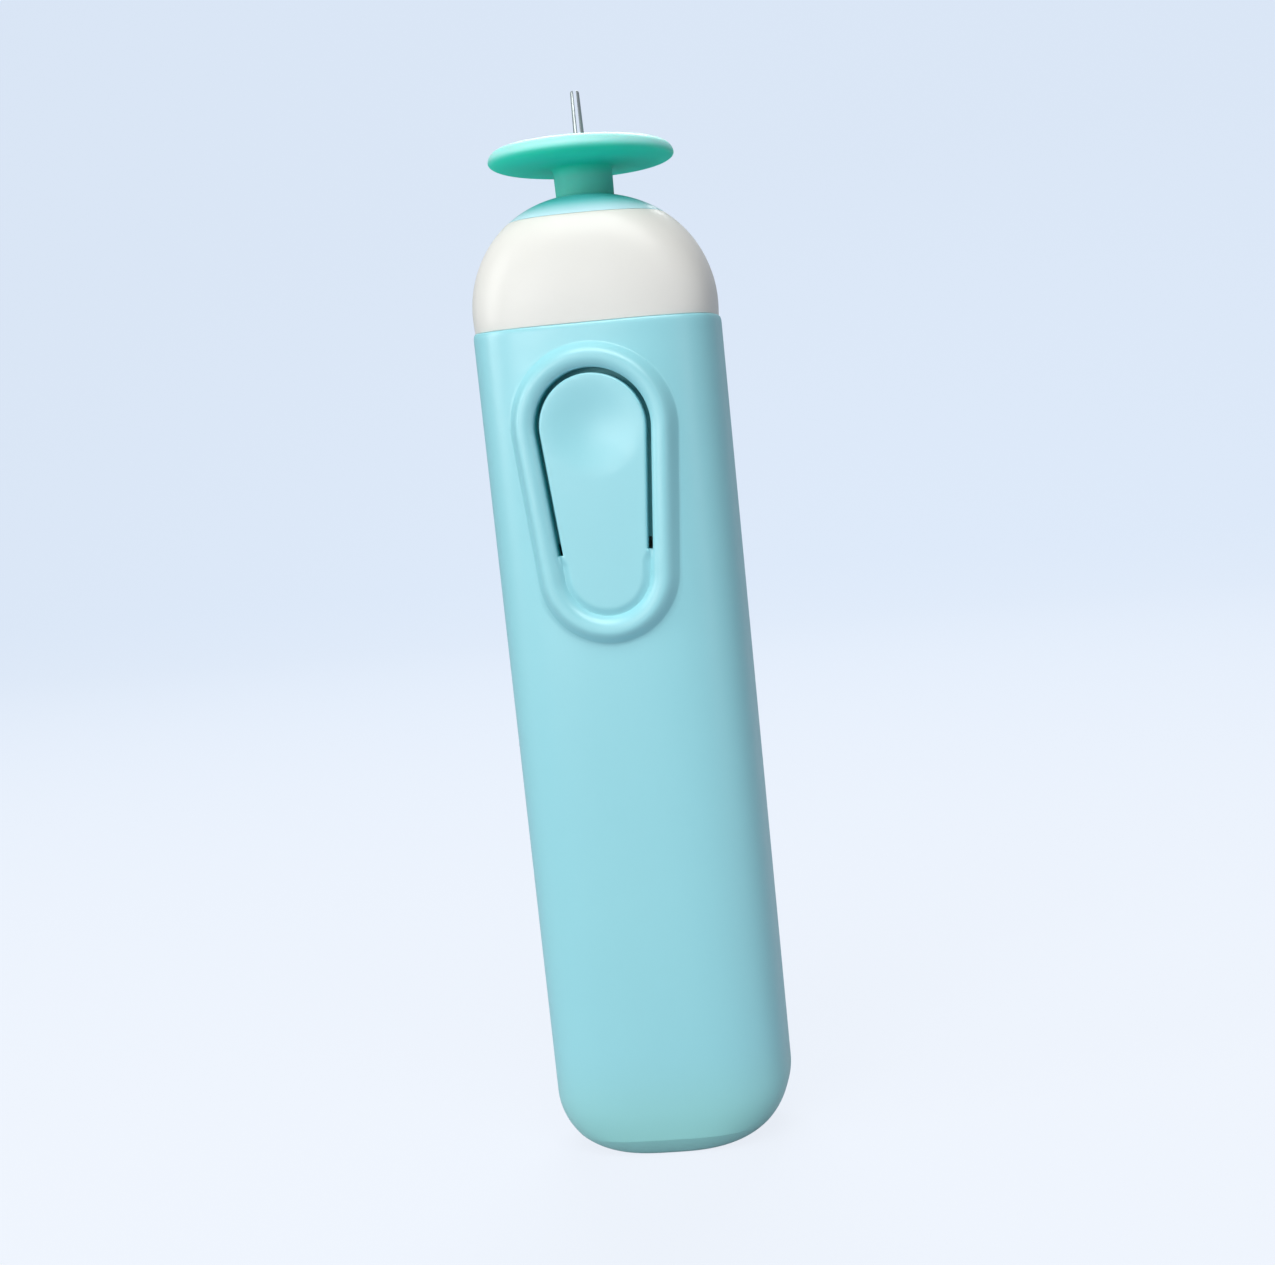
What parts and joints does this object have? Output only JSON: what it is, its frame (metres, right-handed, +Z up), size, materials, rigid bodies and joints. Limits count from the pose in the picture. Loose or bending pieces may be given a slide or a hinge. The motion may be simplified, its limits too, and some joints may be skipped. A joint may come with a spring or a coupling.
{
  "type": "electric quilling pen",
  "caption": "Slim battery-powered pen that spins a slotted needle and guide disc to wind paper strips into coils, with a push button in a raised bead.",
  "frame": {"origin": "centre of the sleeve's flat foot, on the pen's axis, at the plane it stands on", "axes": "+Z up the pen's axis from the foot to the needle's tip, +X to the right across the pen's width, -Y out of the front where the button is"},
  "size_m": [0.033, 0.0248, 0.1449],
  "materials": {
    "body_plastic": "satin moulded plastic, light cyan",
    "cap_plastic": "satin moulded plastic, warm white",
    "nose_plastic": "satin moulded plastic, pale teal",
    "head_plastic": "glossy moulded plastic, teal green",
    "frame_plastic": "matt moulded plastic, mid teal",
    "gear_nylon": "natural white acetal",
    "bell_nylon": "natural nylon",
    "cell_cover": "plain silver-grey cell wrapper, no print",
    "steel": "bright drawn steel",
    "nickel": "nickel plate",
    "brass": "rolled brass",
    "bronze": "sintered bronze",
    "copper": "enamelled copper",
    "ferrite": "sintered ferrite",
    "red_cover": "red lead insulation",
    "black_cover": "black lead insulation"
  },
  "bodies": {
    "sleeve": {"body_sleeve": "body_plastic"},
    "button": {"power_button": "body_plastic"},
    "chassis": {"shoulder_cap": "cap_plastic", "nose_dome": "nose_plastic", "nose_bushing": "bronze", "chassis_frame": "frame_plastic", "gearbox_cover": "frame_plastic", "cover_bushing": "bronze", "cover_screw_front": "nickel", "cover_screw_back": "nickel", "layshaft_pin": "steel", "motor_can": "steel", "motor_end_bell": "bell_nylon", "motor_front_bushing": "bronze", "motor_rear_bushing": "bronze", "motor_magnet_left": "ferrite", "motor_magnet_right": "ferrite", "motor_brush_left": "copper", "motor_brush_right": "copper", "motor_terminal_left": "brass", "motor_terminal_right": "brass", "motor_screw_front": "nickel", "motor_screw_back": "nickel", "cell_left": "cell_cover", "cell_right": "cell_cover", "bridge_contact": "nickel", "positive_contact": "nickel", "negative_contact": "nickel", "lower_contact_spring": "nickel", "upper_contact_spring": "nickel", "leaf_rivet": "nickel", "switch_fixed_contact": "brass", "lead_red": "red_cover", "lead_black": "black_cover", "lead_switch": "red_cover"},
    "leaf": {"switch_leaf": "brass"},
    "rotor": {"motor_shaft": "steel", "motor_pinion": "brass", "armature_core": "steel", "armature_winding_1": "copper", "armature_winding_2": "copper", "armature_winding_3": "copper", "commutator": "copper"},
    "layshaft": {"compound_gear": "gear_nylon"},
    "head": {"winding_disc": "head_plastic", "slotted_needle": "steel", "output_shaft": "steel", "output_gear": "gear_nylon"}
  },
  "joints": [
    {"name": "chassis_slide", "type": "slide", "parent": "sleeve", "child": "chassis", "axis": [0, 0, 1], "range_m": [0, 0.105]},
    {"name": "button_press", "type": "hinge", "parent": "sleeve", "child": "button", "pos_m": [0, -0.0103, 0.08345], "axis": [-1, 0, 0], "range_deg": [0, 2.4], "stiffness_Nm_per_rad": 0.9},
    {"name": "leaf_flex", "type": "hinge", "parent": "chassis", "child": "leaf", "pos_m": [0, -0.00705, 0.0684], "axis": [-1, 0, 0], "range_deg": [0, 0.75]},
    {"name": "motor_spin", "type": "hinge", "parent": "chassis", "child": "rotor", "pos_m": [0, 0, 0.0934], "axis": [0, 0, 1], "continuous": true},
    {"name": "layshaft_spin", "type": "hinge", "parent": "chassis", "child": "layshaft", "pos_m": [0.00644, 0, 0.1084], "axis": [0, 0, 1], "continuous": true},
    {"name": "head_spin", "type": "hinge", "parent": "chassis", "child": "head", "pos_m": [0, 0, 0.1234], "axis": [0, 0, 1], "continuous": true}
  ],
  "couplings": [
    {"joint": "leaf_flex", "follows": "button_press", "ratio": 0.309},
    {"joint": "layshaft_spin", "follows": "motor_spin", "ratio": -0.33333},
    {"joint": "head_spin", "follows": "motor_spin", "ratio": 0.11111}
  ]
}
